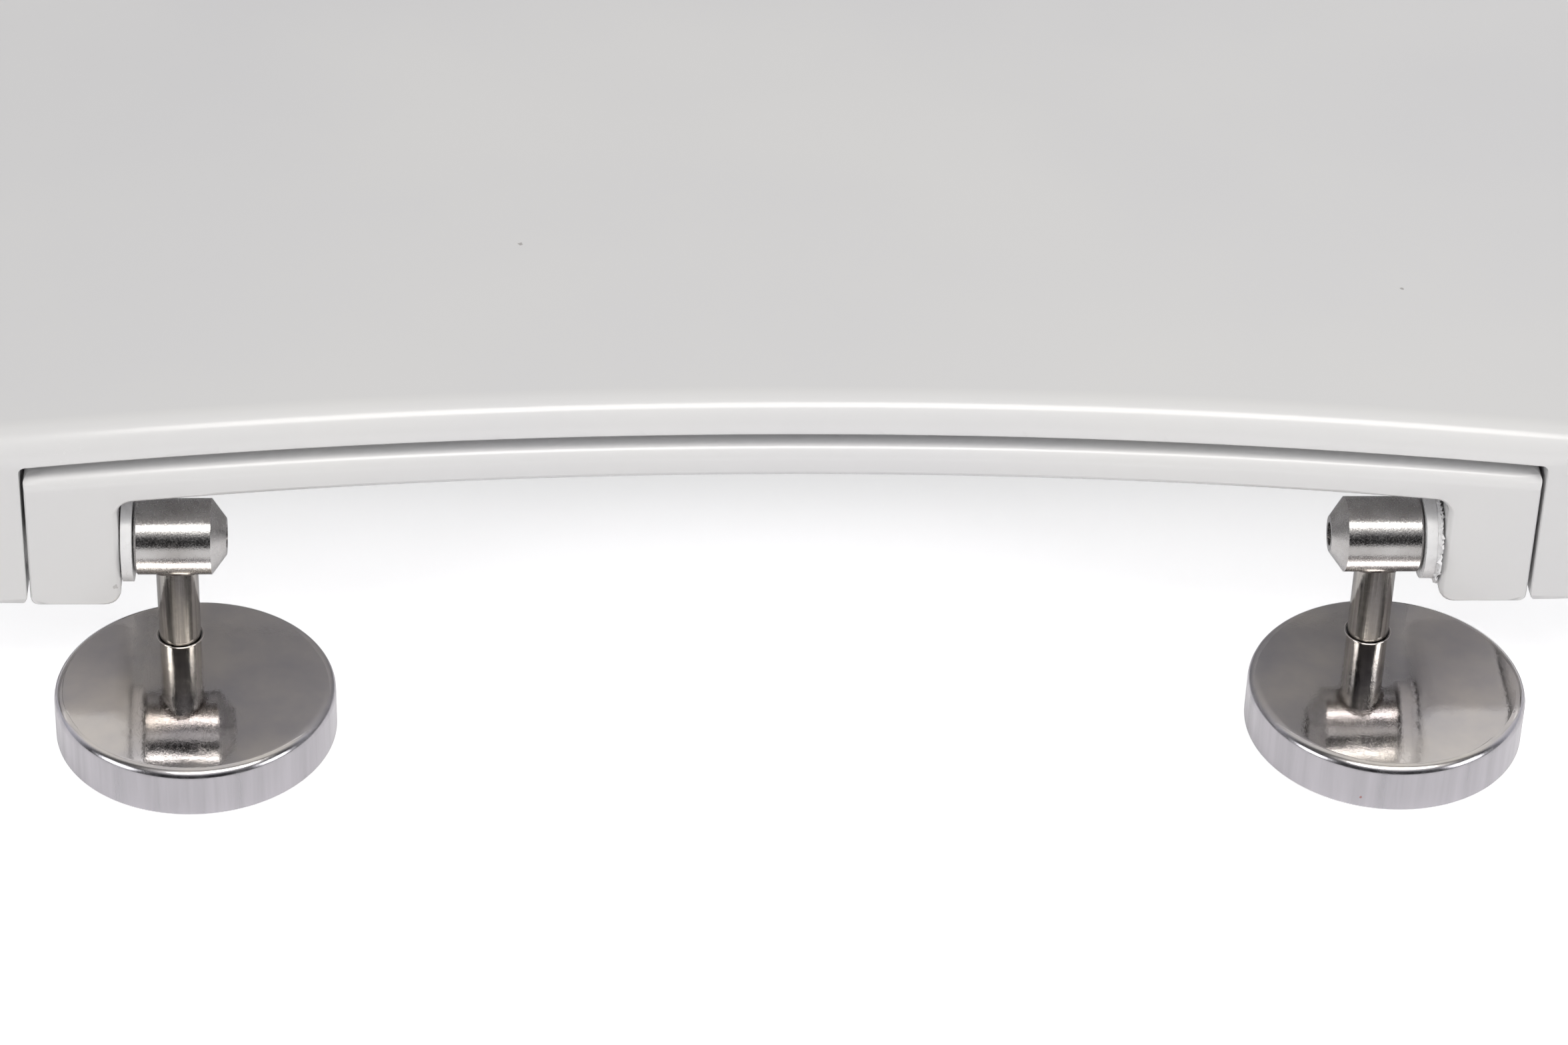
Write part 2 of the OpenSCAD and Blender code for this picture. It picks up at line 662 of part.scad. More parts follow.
module base_plate(side) color("gray") difference() {
    boss_top = cap_h - cap_t - rest_gap;
    union() {
        at_rosette(side) {
            translate([0, 0, gasket_t])
                cylinder(r = cap_r - cap_t - rest_gap, h = base_t, $fn = 180);
            translate([0, 0, gasket_t])
                cylinder(r = fixing_boss_r, h = boss_top - gasket_t, $fn = smooth);
        }
        translate([post_x(side), axis_y, gasket_t])
            cylinder(r = post_boss_r, h = boss_top - gasket_t, $fn = smooth);
    }
    at_rosette(side) cylinder(r = fixing_r, h = cap_h, $fn = smooth);
    translate([post_x(side), axis_y, gasket_t + post_floor_t])
        cylinder(r = post_r + seat_gap, h = cap_h, $fn = smooth);
}

module gasket(side) color("dimgray") at_rosette(side) difference() {
    cylinder(r = cap_r - cap_t - 2 * rest_gap, h = gasket_t, $fn = 180);
    translate([0, 0, -1])
        cylinder(r = fixing_r + gasket_hole_gap, h = gasket_t + 2, $fn = smooth);
}

lid();
lid_damper();
lid_bush();
lid_buffer(lid_buffer_spots[0]);  // lid_buffer_rear_left
lid_buffer(lid_buffer_spots[1]);  // lid_buffer_rear_right
lid_buffer(lid_buffer_spots[2]);  // lid_buffer_front_left
lid_buffer(lid_buffer_spots[3]);  // lid_buffer_front_right
seat_ring();
ring_damper();
ring_bush();
lid_pin();
ring_buffer(ring_buffer_spots[0]);  // ring_buffer_rear_left
ring_buffer(ring_buffer_spots[1]);  // ring_buffer_rear_right
ring_buffer(ring_buffer_spots[2]);  // ring_buffer_front_left
ring_buffer(ring_buffer_spots[3]);  // ring_buffer_front_right
hinge_cap(left);  // hinge_cap_left
hinge_cap(right);  // hinge_cap_right
base_plate(left);  // base_plate_left
base_plate(right);  // base_plate_right
gasket(left);  // gasket_left
gasket(right);  // gasket_right
hinge_post(left);  // hinge_post_left
hinge_post(right);  // hinge_post_right
hinge_barrel(left);  // hinge_barrel_left
hinge_barrel(right);  // hinge_barrel_right
hinge_pin(left);  // hinge_pin_left
hinge_pin(right);  // hinge_pin_right
pin_screw(left);  // pin_screw_left
pin_screw(right);  // pin_screw_right
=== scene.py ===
import math

import bpy
from mathutils import Matrix, Vector


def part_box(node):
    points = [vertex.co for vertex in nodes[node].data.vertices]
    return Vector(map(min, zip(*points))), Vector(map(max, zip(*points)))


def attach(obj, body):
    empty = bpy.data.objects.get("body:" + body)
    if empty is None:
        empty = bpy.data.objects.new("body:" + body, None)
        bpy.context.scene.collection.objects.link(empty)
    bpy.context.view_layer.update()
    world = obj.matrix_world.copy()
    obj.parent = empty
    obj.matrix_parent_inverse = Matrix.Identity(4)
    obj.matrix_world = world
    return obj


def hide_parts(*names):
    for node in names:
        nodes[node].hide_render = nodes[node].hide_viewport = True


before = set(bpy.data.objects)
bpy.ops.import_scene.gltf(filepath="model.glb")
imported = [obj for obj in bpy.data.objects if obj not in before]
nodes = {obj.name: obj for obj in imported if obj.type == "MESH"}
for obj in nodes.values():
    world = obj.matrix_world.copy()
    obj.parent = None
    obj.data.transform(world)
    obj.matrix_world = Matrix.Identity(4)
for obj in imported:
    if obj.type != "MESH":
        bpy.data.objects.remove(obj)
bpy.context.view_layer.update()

MM = 0.001
WHITE = (1, 1, 1, 1)
STILL = (0, 0, 0)

# The hinges, in mm
POST_R = 3.75
POST_EDGE = 0.4
BEAD_R = 3.9
BEAD_WALL = 0.5
LIP_R = 4.17
LIP_WIRE = 0.16
FLASH_R = 7.2
FLASH_START = 1.7
FLASH_WALL = 0.3
CAP_TURNS_OVER = (8.7, 9.38)

# The photograph's small marks, each as a place and a radius in mm
LID_SPECKS = (((46.87, 152.18, 64.35), 0.45), ((-113.37, 160.17, 60.1), 0.4))
EAR_PIT = ((118.64, 203.89, 25.96), 0.5)
RUBBED_CORNER = ((125.9, 203.9, 51.6), 6.0)
RED_SPECK = ((-101.5, 235.0, 2.3), 0.3)


def start_fresh():
    bpy.ops.object.select_all(action="DESELECT")


# The photograph's view, from behind and above

CAMERA_AT = Vector((49.259, 945.07, 596.958))
CAMERA_RIGHT = Vector((-0.99862162, 0.04310759, 0.02994305))
CAMERA_UP = Vector((-0.001957, -0.60067269, 0.79949264))
CAMERA_BACK = Vector((0.05245018, 0.79833204, 0.5999291))
LENS = 120.747
SENSOR = 36.0


def place_camera():
    bpy.ops.object.camera_add()
    camera = bpy.context.object
    camera.name = "camera"
    turn = Matrix((CAMERA_RIGHT, CAMERA_UP, CAMERA_BACK)).transposed().to_4x4()
    camera.matrix_world = Matrix.Translation(CAMERA_AT * MM) @ turn
    camera.data.lens = LENS
    camera.data.sensor_width = SENSOR
    camera.data.sensor_fit = "HORIZONTAL"
    camera.data.clip_start = 0.05
    camera.data.clip_end = 50.0
    bpy.context.scene.camera = camera


place_camera()


# Node groups shared by several materials

class Wiring:
    """Short calls that add nodes to one node tree"""

    def __init__(self, tree):
        self.tree = tree

    def add(self, kind, **settings):
        node = self.tree.nodes.new(kind)
        for key, value in settings.items():
            setattr(node, key, value)
        return node

    def join(self, source, target):
        self.tree.links.new(source, target)

    def feed(self, socket, value):
        if isinstance(value, bpy.types.NodeSocket):
            self.join(value, socket)
        else:
            socket.default_value = value

    def math(self, how, a, b=0.0):
        node = self.add("ShaderNodeMath", operation=how)
        self.feed(node.inputs[0], a)
        self.feed(node.inputs[1], b)
        return node.outputs[0]

    def spread(self, value, low, high, to_low=0.0, to_high=1.0, smooth=False):
        """Move a value from one range to another, by default to 0 to 1"""
        node = self.add("ShaderNodeMapRange")
        if smooth:
            node.interpolation_type = "SMOOTHSTEP"
        for socket, v in (("Value", value), ("From Min", low), ("From Max", high),
                          ("To Min", to_low), ("To Max", to_high)):
            self.feed(node.inputs[socket], v)
        return node.outputs["Result"]

    def mapped(self, place, scale=(1, 1, 1), turn=(0, 0, 0)):
        node = self.add("ShaderNodeMapping")
        node.inputs["Scale"].default_value = scale
        node.inputs["Rotation"].default_value = turn
        self.join(place, node.inputs["Vector"])
        return node.outputs["Vector"]

    def noise(self, place, scale, detail=3.0, rough=0.5, warp=0.0):
        node = self.add("ShaderNodeTexNoise")
        self.join(place, node.inputs["Vector"])
        for socket, v in (("Scale", scale), ("Detail", detail), ("Roughness", rough),
                          ("Distortion", warp)):
            self.feed(node.inputs[socket], v)
        return node.outputs["Fac"]

    def blend(self, mask, first, second):
        """Mix two colours, the first where the mask is 0"""
        node = self.add("ShaderNodeMix", data_type="RGBA")
        self.feed(node.inputs["Factor"], mask)
        self.feed(node.inputs[6], first)
        self.feed(node.inputs[7], second)
        return node.outputs[2]

    def blend_levels(self, mask, first, second):
        """Mix two values, the first where the mask is 0"""
        node = self.add("ShaderNodeMix", data_type="FLOAT")
        self.feed(node.inputs[0], mask)
        self.feed(node.inputs[2], first)
        self.feed(node.inputs[3], second)
        return node.outputs[0]


def new_group(name, inputs, outputs):
    tree = bpy.data.node_groups.new(name, "ShaderNodeTree")
    for label, kind, value in inputs:
        socket = tree.interface.new_socket(label, in_out="INPUT", socket_type=kind)
        if value is not None:
            socket.default_value = value
    for label, kind in outputs:
        tree.interface.new_socket(label, in_out="OUTPUT", socket_type=kind)
    wires = Wiring(tree)
    start = wires.add("NodeGroupInput").outputs
    end = wires.add("NodeGroupOutput").inputs
    return wires, start, end


def make_hairline_group():
    """Curled hair-fine scratches, as wiping leaves them on polished metal or plastic"""
    wires, start, end = new_group(
        "hairline scratches",
        [("Vector", "NodeSocketVector", None), ("Scale", "NodeSocketFloat", 300.0),
         ("Width", "NodeSocketFloat", 0.01)],
        [("Mask", "NodeSocketFloat")])
    patches = wires.math("MULTIPLY", start["Scale"], 0.21)
    total = None
    for turn, stretch in (((0.2, 0.1, 0.4), (1, 0.35, 1)), ((0.1, 0.3, 2.0), (1, 0.3, 1)),
                          ((0.4, 0.2, 1.2), (1, 0.45, 1))):
        place = wires.mapped(start["Vector"], stretch, turn)
        line = wires.noise(place, start["Scale"], 2.0, 0.5, 0.6)
        off = wires.math("ABSOLUTE", wires.math("SUBTRACT", line, 0.5))
        mask = wires.spread(off, 0.0, start["Width"], 1.0, 0.0)
        here = wires.spread(wires.noise(place, patches), 0.45, 0.62)
        mask = wires.math("MULTIPLY", mask, here)
        total = mask if total is None else wires.math("MAXIMUM", total, mask)
    wires.join(total, end["Mask"])
    return wires.tree


def make_speck_group():
    """A small ragged spot at one place on the object"""
    wires, start, end = new_group(
        "speck",
        [("Vector", "NodeSocketVector", None), ("Place", "NodeSocketVector", None),
         ("Radius", "NodeSocketFloat", 0.0005)],
        [("Mask", "NodeSocketFloat")])
    ragged = wires.add("ShaderNodeTexNoise")
    ragged.inputs["Scale"].default_value = 1800.0
    wires.join(start["Vector"], ragged.inputs["Vector"])
    far = wires.add("ShaderNodeVectorMath", operation="DISTANCE")
    wires.join(start["Vector"], far.inputs[0])
    wires.join(start["Place"], far.inputs[1])
    reach = wires.math("MULTIPLY", start["Radius"],
                       wires.spread(ragged.outputs["Fac"], 0.3, 0.7, 0.6, 1.4))
    ratio = wires.math("DIVIDE", far.outputs["Value"], reach)
    wires.join(wires.spread(ratio, 0.7, 1.05, 1.0, 0.0, True), end["Mask"])
    return wires.tree


hairline_group = make_hairline_group()
speck_group = make_speck_group()


# Materials

def duller(colour, share):
    return [v * share for v in colour[:3]] + [1]


class Finish(Wiring):
    """A new material with its Principled BSDF"""

    def __init__(self, name, colour, rough, metal=0.0):
        self.material = bpy.data.materials.new(name)
        self.material.use_nodes = True
        Wiring.__init__(self, self.material.node_tree)
        self.bsdf = self.tree.nodes["Principled BSDF"]
        self.bsdf.inputs["Base Color"].default_value = colour
        self.bsdf.inputs["Roughness"].default_value = rough
        self.bsdf.inputs["Metallic"].default_value = metal
        self.here = self.add("ShaderNodeTexCoord").outputs["Object"]
        self.normal = None

    def set(self, socket, value):
        self.feed(self.bsdf.inputs[socket], value)

    def bump(self, height, strength, distance=0.0002):
        """Lay one more relief over those before it"""
        node = self.add("ShaderNodeBump")
        node.inputs["Strength"].default_value = strength
        node.inputs["Distance"].default_value = distance
        self.join(height, node.inputs["Height"])
        if self.normal is not None:
            self.join(self.normal, node.inputs["Normal"])
        self.normal = node.outputs["Normal"]
        self.join(self.normal, self.bsdf.inputs["Normal"])

    def hairlines(self, scale, width):
        node = self.add("ShaderNodeGroup", node_tree=hairline_group)
        self.join(self.here, node.inputs["Vector"])
        node.inputs["Scale"].default_value = scale
        node.inputs["Width"].default_value = width
        return node.outputs["Mask"]

    def speck(self, place, radius):
        node = self.add("ShaderNodeGroup", node_tree=speck_group)
        self.join(self.here, node.inputs["Vector"])
        node.inputs["Place"].default_value = [v * MM for v in place]
        node.inputs["Radius"].default_value = radius * MM
        return node.outputs["Mask"]

    def height_over(self, low, high):
        """0 below one height in mm and 1 above the other"""
        split = self.add("ShaderNodeSeparateXYZ")
        self.join(self.here, split.inputs["Vector"])
        return self.spread(split.outputs["Z"], low * MM, high * MM, smooth=True)


def glossy_white():
    """Glossy lid and ring plastic, with the specks, the pit and the rubbed corner"""
    cool, warm = (0.775, 0.775, 0.785, 1), (0.79, 0.789, 0.789, 1)
    brown, grey = (0.20, 0.17, 0.15, 1), (0.35, 0.33, 0.32, 1)
    s = Finish("glossy white duroplast", (0.78, 0.78, 0.785, 1), 0.16)
    s.bsdf.inputs["IOR"].default_value = 1.5
    haze = s.noise(s.here, 14.0)
    cloud = s.blend(s.spread(haze, 0.35, 0.65), cool, warm)
    specks = s.math("MAXIMUM", *[s.speck(*spot) for spot in LID_SPECKS])
    pit = s.speck(*EAR_PIT)
    marked = s.blend(s.math("MULTIPLY", specks, 0.55), cloud, brown)
    s.set("Base Color", s.blend(s.math("MULTIPLY", pit, 0.45), marked, grey))
    rubbed = s.math("MULTIPLY", s.hairlines(420.0, 0.006), s.speck(*RUBBED_CORNER))
    s.set("Roughness", s.math("ADD", s.spread(haze, 0.3, 0.7, 0.13, 0.2),
                              s.math("MULTIPLY", rubbed, 0.3)))
    s.bump(s.noise(s.here, 260.0, 2.0), 0.018)
    s.bump(s.math("ADD", rubbed, s.math("MULTIPLY", pit, 3.0)), -0.35)
    return s.material


def moulded_white(name, colour, rough, ribs=0.0):
    """Satin plastic of the flanges, bushes and buffers, with turning marks if wanted"""
    s = Finish(name, colour, rough)
    fine = s.noise(s.here, 1500.0)
    s.set("Roughness", s.spread(fine, 0.3, 0.7, rough - 0.05, rough + 0.05))
    s.set("Base Color", s.blend(s.spread(s.noise(s.here, 170.0), 0.4, 0.7), colour,
                                duller(colour, 0.93)))
    s.bump(fine, 0.1)
    if ribs:
        s.bump(s.noise(s.mapped(s.here, (0.05, 1, 1)), 1300.0), ribs)
    return s.material


def cap_metal():
    """Polished sheet with curled fine scratches on top and drawing marks down the wall"""
    pale_grey, straw = (0.63, 0.61, 0.625, 1), (0.82, 0.775, 0.73, 1)
    lilac, deep_lilac = (0.535, 0.52, 0.55, 1), (0.46, 0.45, 0.475, 1)
    rust = (0.35, 0.10, 0.07, 1)
    s = Finish("polished rosette steel", (0.60, 0.585, 0.575, 1), 0.09, 1.0)
    top = s.height_over(*CAP_TURNS_OVER)
    cloud = s.noise(s.here, 55.0, 4.0, 0.55)
    drawn = s.noise(s.mapped(s.here, (1, 1, 0.06)), 330.0, 4.0, 0.6)
    hair = s.hairlines(850.0, 0.03)
    sheet_colour = s.blend(s.spread(cloud, 0.35, 0.65), pale_grey, straw)
    wall_colour = s.blend(s.spread(drawn, 0.35, 0.65), lilac, deep_lilac)
    s.set("Base Color", s.blend(s.math("MULTIPLY", s.speck(*RED_SPECK), 0.7),
                                s.blend(top, wall_colour, sheet_colour), rust))
    sheet = s.math("ADD", s.spread(cloud, 0.35, 0.65, 0.03, 0.11),
                   s.math("MULTIPLY", hair, 0.08))
    wall = s.spread(drawn, 0.3, 0.7, 0.16, 0.3)
    s.set("Roughness", s.blend_levels(top, wall, sheet))
    s.bump(s.noise(s.here, 85.0, 2.0), 0.05, 0.001)
    s.bump(hair, 0.012)
    s.bump(drawn, 0.03)
    s.bump(s.noise(s.here, 2100.0, 2.0), 0.02)
    return s.material


def blasted_metal():
    dark, light = (0.44, 0.425, 0.415, 1), (0.62, 0.61, 0.605, 1)
    s = Finish("bead blasted barrel steel", (0.62, 0.60, 0.59, 1), 0.27, 1.0)
    beads = s.noise(s.here, 3400.0, 2.0, 0.7)
    cloud = s.noise(s.here, 160.0)
    mottle = s.math("ADD", cloud, s.math("MULTIPLY", beads, 0.6))
    s.set("Base Color", s.blend(s.spread(mottle, 0.6, 1.0), dark, light))
    s.set("Roughness", s.spread(beads, 0.35, 0.65, 0.16, 0.3))
    s.bump(beads, 0.11)
    return s.material


def drawn_metal():
    dark, light = (0.42, 0.4, 0.375, 1), (0.56, 0.54, 0.51, 1)
    s = Finish("drawn post steel", (0.60, 0.575, 0.55, 1), 0.16, 1.0)
    lines = s.noise(s.mapped(s.here, (1, 1, 0.025)), 1500.0, 4.0, 0.65)
    dots = s.noise(s.here, 900.0, 3.0, 0.6)
    s.set("Base Color", s.blend(s.spread(lines, 0.35, 0.65), dark, light))
    s.set("Roughness", s.spread(s.math("ADD", lines, s.math("MULTIPLY", dots, 0.5)),
                                0.6, 0.95, 0.1, 0.22))
    s.bump(lines, 0.16)
    s.bump(dots, 0.07)
    return s.material


def plain_metal(name, colour, rough, grain, scale):
    """Metal with an even grain, of one strength and one fineness"""
    s = Finish(name, colour, rough, 1.0)
    fine = s.noise(s.here, scale, 3.0, 0.6)
    s.set("Roughness", s.spread(fine, 0.3, 0.7, rough * 0.75, rough * 1.25))
    s.set("Base Color", s.blend(s.spread(s.noise(s.here, scale * 0.2), 0.35, 0.65), colour,
                                duller(colour, 0.85)))
    s.bump(fine, grain)
    return s.material


def black_rubber():
    s = Finish("black rubber", (0.03, 0.03, 0.03, 1), 0.6)
    fine = s.noise(s.here, 1400.0)
    s.set("Roughness", s.spread(fine, 0.3, 0.7, 0.5, 0.7))
    s.bump(fine, 0.2)
    return s.material


duroplast = glossy_white()
flange_plastic = moulded_white("flange plastic", (0.86, 0.86, 0.87, 1), 0.3, 0.08)
bush_plastic = moulded_white("bush plastic", (0.70, 0.70, 0.68, 1), 0.4)
soft_plastic = moulded_white("soft buffer plastic", (0.72, 0.72, 0.71, 1), 0.5)
cap_steel = cap_metal()
barrel_steel = blasted_metal()
post_steel = drawn_metal()
pin_steel = plain_metal("ground pin steel", (0.58, 0.58, 0.58, 1), 0.25, 0.05, 1500.0)
screw_steel = plain_metal("dull screw steel", (0.36, 0.35, 0.36, 1), 0.38, 0.2, 1500.0)
weld_metal = plain_metal("scaled weld metal", (0.17, 0.15, 0.14, 1), 0.5, 0.6, 1800.0)
zinc = plain_metal("zinc plate", (0.55, 0.56, 0.57, 1), 0.4, 0.2, 700.0)
gasket_rubber = black_rubber()

FINISH = {
    "lid_white": duroplast, "ring_white": duroplast, "damper_white": flange_plastic,
    "bush_white": bush_plastic, "buffer_soft": soft_plastic, "cap_steel": cap_steel,
    "barrel_steel": barrel_steel, "post_steel": post_steel, "pin_steel": pin_steel,
    "screw_steel": screw_steel, "plate_metal": zinc, "gasket_rubber": gasket_rubber,
}
for part in nodes.values():
    for holder in part.material_slots:
        holder.material = FINISH[holder.name.split(".")[0]]


# Smooth skins over the lid and the ring

def smooth_skin(node, name, body):
    """The node's own shape, merged and smoothly shaded"""
    start_fresh()
    piece = bpy.data.objects.new(name, nodes[node].data.copy())
    bpy.context.scene.collection.objects.link(piece)
    piece.select_set(True)
    bpy.context.view_layer.objects.active = piece
    bpy.ops.mesh.customdata_custom_splitnormals_clear()
    bpy.ops.object.mode_set(mode="EDIT")
    bpy.ops.mesh.select_all(action="SELECT")
    bpy.ops.mesh.remove_doubles(threshold=0.002 * MM)
    bpy.ops.mesh.tris_convert_to_quads(face_threshold=math.radians(5),
                                       shape_threshold=math.radians(60))
    bpy.ops.object.mode_set(mode="OBJECT")
    bpy.ops.object.shade_smooth_by_angle(angle=math.radians(32))
    even = piece.modifiers.new("even", "WEIGHTED_NORMAL")
    even.keep_sharp = True
    even.weight = 100
    bpy.ops.object.modifier_apply(modifier="even")
    piece.material_slots[0].material = duroplast
    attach(piece, body)
    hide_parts(node)


smooth_skin("lid", "lid_skin", "lid")
smooth_skin("seat_ring", "ring_skin", "ring")


# Small details of the hinges

def pick(piece, wanted):
    """Select the corners that wanted(place in mm) names, and stay in edit mode"""
    bpy.ops.object.mode_set(mode="OBJECT")
    corners = piece.data.vertices
    for corner in corners:
        corner.select = wanted(corner.co / MM)
    for part in list(piece.data.edges) + list(piece.data.polygons):
        part.select = all(corners[i].select for i in part.vertices)
    bpy.ops.object.mode_set(mode="EDIT")


def thicken(piece, wall):
    solid = piece.modifiers.new("wall", "SOLIDIFY")
    solid.thickness = wall * MM
    solid.offset = 0.0
    bpy.ops.object.modifier_apply(modifier="wall")


def settle(piece, name, body, finish, angle=40):
    """Close a finished piece, name it, and put it on its body"""
    bpy.ops.object.mode_set(mode="EDIT")
    bpy.ops.mesh.select_all(action="SELECT")
    bpy.ops.mesh.remove_doubles(threshold=0.001 * MM)
    bpy.ops.mesh.normals_make_consistent(inside=False)
    bpy.ops.object.mode_set(mode="OBJECT")
    bpy.ops.object.transform_apply(location=True, rotation=True, scale=True)
    bpy.ops.object.shade_smooth_by_angle(angle=math.radians(angle))
    piece.name = name
    piece.data.materials.append(finish)
    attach(piece, body)


def middle_of(node):
    low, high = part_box(node)
    return (Vector(low) + Vector(high)) / 2


def spread_ring(factor, move=STILL):
    """Grow a ring of faces outwards from the selected circle and move its new edge"""
    bpy.ops.mesh.extrude_region_move(TRANSFORM_OT_translate={"value": move})
    bpy.ops.transform.resize(value=factor)


def make_weld_bead(side, seed):
    """The dark ragged bead where the post enters the barrel, laid on the barrel's round"""
    at = middle_of("hinge_post_" + side)
    start_fresh()
    bpy.ops.mesh.primitive_circle_add(vertices=80, radius=BEAD_R * MM, fill_type="NOTHING",
                                      location=(at.x, at.y, 20 * MM))
    bead = bpy.context.object
    bpy.ops.object.mode_set(mode="EDIT")
    bpy.ops.mesh.select_all(action="SELECT")
    for _ in range(2):
        spread_ring((1.05, 1.05, 1))
    bpy.ops.transform.vertex_random(offset=0.12 * MM, seed=seed)
    bpy.ops.object.mode_set(mode="OBJECT")
    lay = bead.modifiers.new("lay", "SHRINKWRAP")
    lay.wrap_method = "PROJECT"
    lay.use_project_z = True
    lay.use_positive_direction = True
    lay.target = nodes["hinge_barrel_" + side]
    bpy.ops.object.modifier_apply(modifier="lay")
    thicken(bead, BEAD_WALL)
    bpy.ops.object.mode_set(mode="EDIT")
    bpy.ops.mesh.select_all(action="SELECT")
    bpy.ops.transform.vertex_random(offset=0.05 * MM, seed=5)
    settle(bead, "weld_bead_" + side, "hinges", weld_metal)


def make_post(side):
    """A turned post with a broken lower edge, let into the barrel from below"""
    low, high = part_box("hinge_post_" + side)
    start_fresh()
    bpy.ops.mesh.primitive_cylinder_add(vertices=128, radius=POST_R * MM,
                                        depth=high[2] - low[2], end_fill_type="NGON",
                                        location=middle_of("hinge_post_" + side))
    post = bpy.context.object
    bpy.ops.object.transform_apply(location=True, rotation=True, scale=True)
    pick(post, lambda place: place.z < low[2] / MM + 0.01)
    bpy.ops.mesh.bevel(offset=POST_EDGE * MM, segments=3, affect="EDGES")
    settle(post, "post_" + side, "hinges", post_steel)
    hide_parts("hinge_post_" + side)


def make_foot_lip(side):
    """The rolled lip of the rosette's hole round the post's foot"""
    at = middle_of("hinge_post_" + side)
    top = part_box("hinge_cap_" + side)[1][2]
    start_fresh()
    bpy.ops.mesh.primitive_torus_add(location=(at.x, at.y, top), major_radius=LIP_R * MM,
                                     minor_radius=LIP_WIRE * MM, major_segments=96,
                                     minor_segments=12)
    lip = bpy.context.object
    bpy.ops.object.mode_set(mode="EDIT")
    bpy.ops.mesh.select_all(action="SELECT")
    bpy.ops.transform.resize(value=(1, 1, 0.75))
    settle(lip, "foot_lip_" + side, "hinges", cap_steel)


def make_moulding_flash():
    """The ragged white flash that the moulding left round the left damper's collar"""
    inner_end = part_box("ring_damper")[1][0]
    axis = middle_of("hinge_barrel_left")
    start_fresh()
    bpy.ops.mesh.primitive_circle_add(vertices=120, radius=FLASH_R * MM, fill_type="NOTHING",
                                      location=(inner_end - FLASH_START * MM, axis.y, axis.z),
                                      rotation=(0, math.radians(90), 0))
    flash = bpy.context.object
    bpy.ops.object.transform_apply(location=True, rotation=True, scale=True)
    bpy.ops.object.mode_set(mode="EDIT")
    bpy.ops.mesh.select_all(action="SELECT")
    for factor, move, ragged, seed in ((1.05, -0.1, 0.05, 4), (1.05, -0.5, 0.3, 7),
                                       (1.04, -0.4, 0.55, 11), (1.02, 0.2, 0.6, 15)):
        spread_ring((1, factor, factor), (move * MM, 0, 0))
        bpy.ops.transform.vertex_random(offset=ragged * MM, seed=seed)
    bpy.ops.object.mode_set(mode="OBJECT")
    thicken(flash, FLASH_WALL)
    settle(flash, "moulding_flash", "ring", flange_plastic, 30)


for side, seed in (("left", 3), ("right", 8)):
    make_post(side)
    make_weld_bead(side, seed)
    make_foot_lip(side)
make_moulding_flash()


# Floor, sky and lamps

FLOOR_SEEN = 0.68
FLOOR_MIRRORED = 0.16
ROOM_MIRRORED = 0.7
LAMP_WAY = (-0.1, 0.5, 0.86)


def pale_floor():
    """A white floor that keeps the object's shadow"""
    start_fresh()
    bpy.ops.mesh.primitive_plane_add(size=12)
    floor = bpy.context.object
    floor.name = "floor"
    s = Finish("pale floor", (0.93, 0.925, 0.945, 1), 0.9)
    s.bsdf.inputs["Specular IOR Level"].default_value = 0.0
    rays = s.add("ShaderNodeLightPath").outputs
    mirrored = s.math("MAXIMUM", rays["Is Glossy Ray"], rays["Is Transmission Ray"])
    seen = s.math("MAXIMUM", s.math("MULTIPLY", rays["Is Camera Ray"], FLOOR_SEEN),
                  s.math("MULTIPLY", mirrored, FLOOR_MIRRORED))
    s.bsdf.inputs["Emission Color"].default_value = WHITE
    s.join(seen, s.bsdf.inputs["Emission Strength"])
    floor.data.materials.append(s.material)


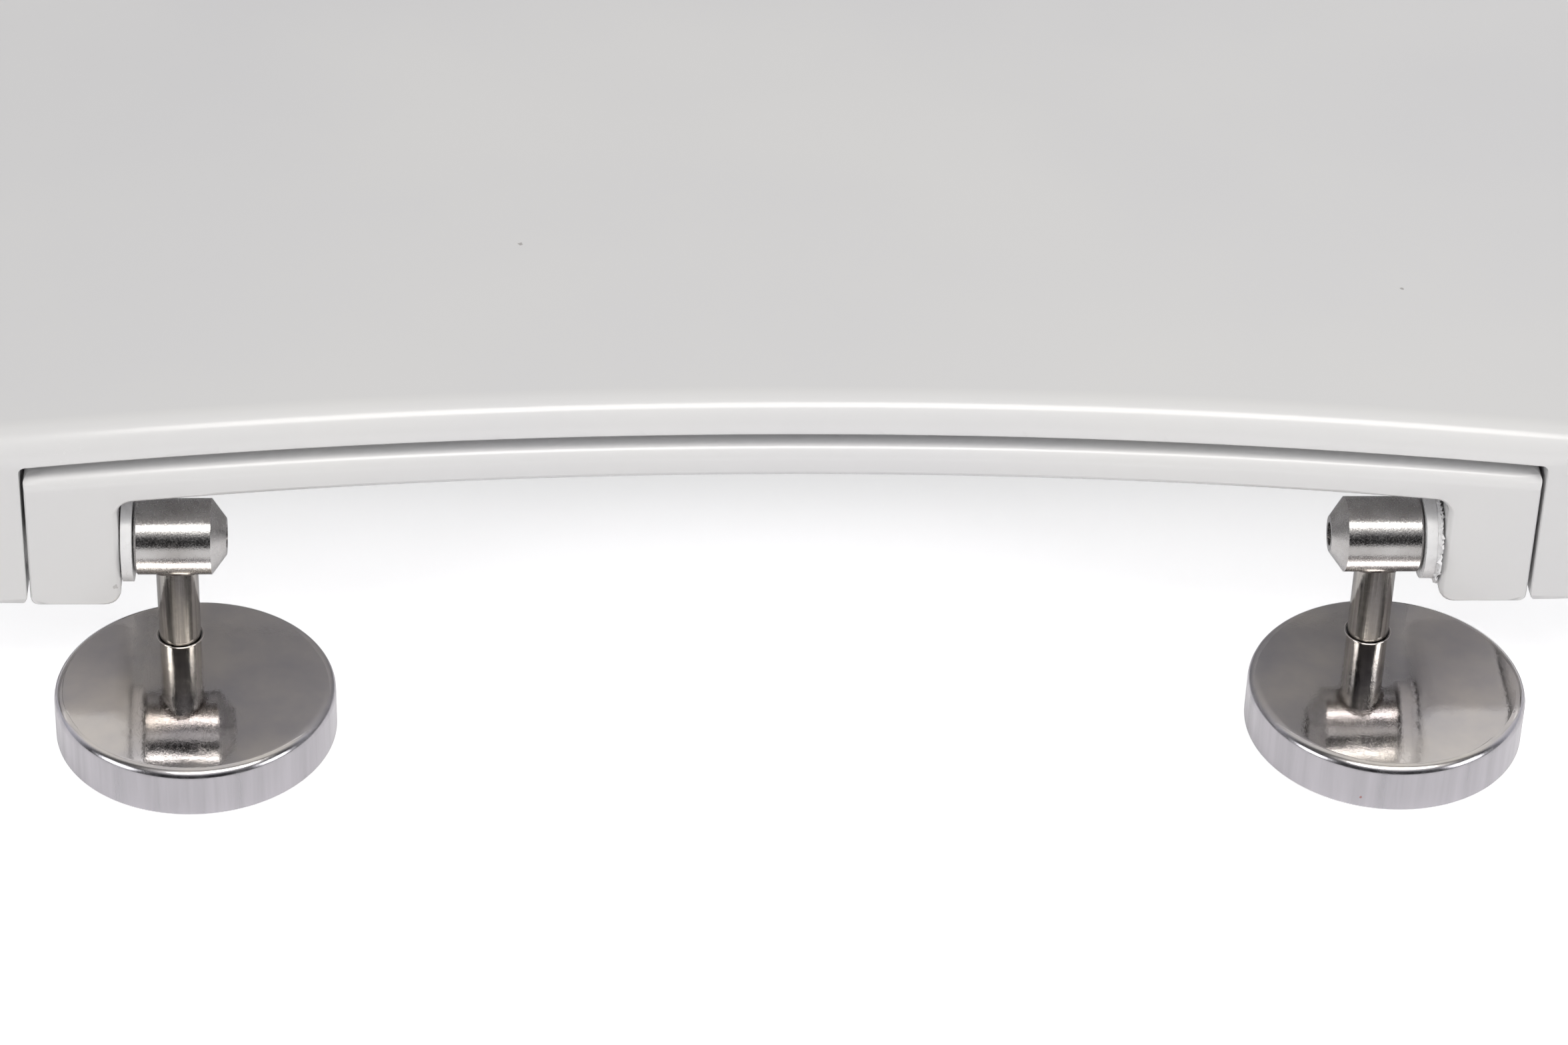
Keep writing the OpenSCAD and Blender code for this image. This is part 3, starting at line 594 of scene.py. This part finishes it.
def studio_sky():
    """White to the camera. To the object it is a soft glow round the lamp, over a darker
    room behind the camera and a light one on the other side, which only mirrors show"""
    cool, warm = (0.93, 0.93, 1.0, 1), (1.0, 0.985, 0.96, 1)
    world = bpy.data.worlds.new("studio")
    bpy.context.scene.world = world
    world.use_nodes = True
    s = Wiring(world.node_tree)
    s.tree.nodes.clear()
    out = s.add("ShaderNodeOutputWorld")
    way = s.add("ShaderNodeTexCoord").outputs["Generated"]
    split = s.add("ShaderNodeSeparateXYZ")
    s.join(way, split.inputs["Vector"])
    toward = s.add("ShaderNodeVectorMath", operation="DOT_PRODUCT")
    s.join(way, toward.inputs[0])
    toward.inputs[1].default_value = LAMP_WAY
    glow = s.spread(toward.outputs["Value"], 0.76, 1.0, 0.13, 0.95, True)
    above_room = s.spread(split.outputs["Z"], 0.5, 0.8, smooth=True)
    behind = s.spread(split.outputs["Y"], -0.25, 0.15, smooth=True)
    dark = s.math("MULTIPLY", s.math("SUBTRACT", 1.0, above_room), behind)
    level = s.math("MULTIPLY", glow, s.spread(dark, 0.0, 1.0, 1.0, 0.13))
    rays = s.add("ShaderNodeLightPath").outputs
    beyond = s.math("MULTIPLY", s.math("SUBTRACT", 1.0, behind),
                    s.math("MAXIMUM", rays["Is Glossy Ray"], rays["Is Transmission Ray"]))
    lit = s.add("ShaderNodeBackground")
    s.join(s.blend(above_room, cool, warm), lit.inputs["Color"])
    s.join(s.math("MAXIMUM", level, s.math("MULTIPLY", beyond, ROOM_MIRRORED)),
           lit.inputs["Strength"])
    seen = s.add("ShaderNodeBackground")
    seen.inputs["Color"].default_value = WHITE
    mix = s.add("ShaderNodeMixShader")
    s.join(rays["Is Camera Ray"], mix.inputs["Fac"])
    s.join(lit.outputs["Background"], mix.inputs[1])
    s.join(seen.outputs["Background"], mix.inputs[2])
    s.join(mix.outputs["Shader"], out.inputs["Surface"])


def softbox(name, at, aim, width, height, watts, colour=(1, 1, 1)):
    bpy.ops.object.light_add(type="AREA", location=at)
    lamp = bpy.context.object
    lamp.name = name
    lamp.data.shape = "RECTANGLE"
    lamp.data.size = width
    lamp.data.size_y = height
    lamp.data.energy = watts
    lamp.data.color = colour
    lamp.rotation_euler = (Vector(at) - Vector(aim)).to_track_quat("Z", "Y").to_euler()


pale_floor()
studio_sky()
softbox("rear softbox", [v * 1.6 for v in LAMP_WAY], (0, 0.15, 0.03), 1.2, 0.42, 10.8,
        (1.0, 0.98, 0.95))
softbox("left softbox", (1.45, 1.0, 0.62), (0, 0.1, 0.03), 0.7, 0.7, 7.2)
softbox("right softbox", (-1.45, 1.0, 0.62), (0, 0.1, 0.03), 0.7, 0.7, 7.2)
softbox("front softbox", (0, -1.7, 0.42), (0, -0.1, 0.03), 1.6, 0.5, 9)

bpy.context.scene.view_settings.view_transform = "Standard"
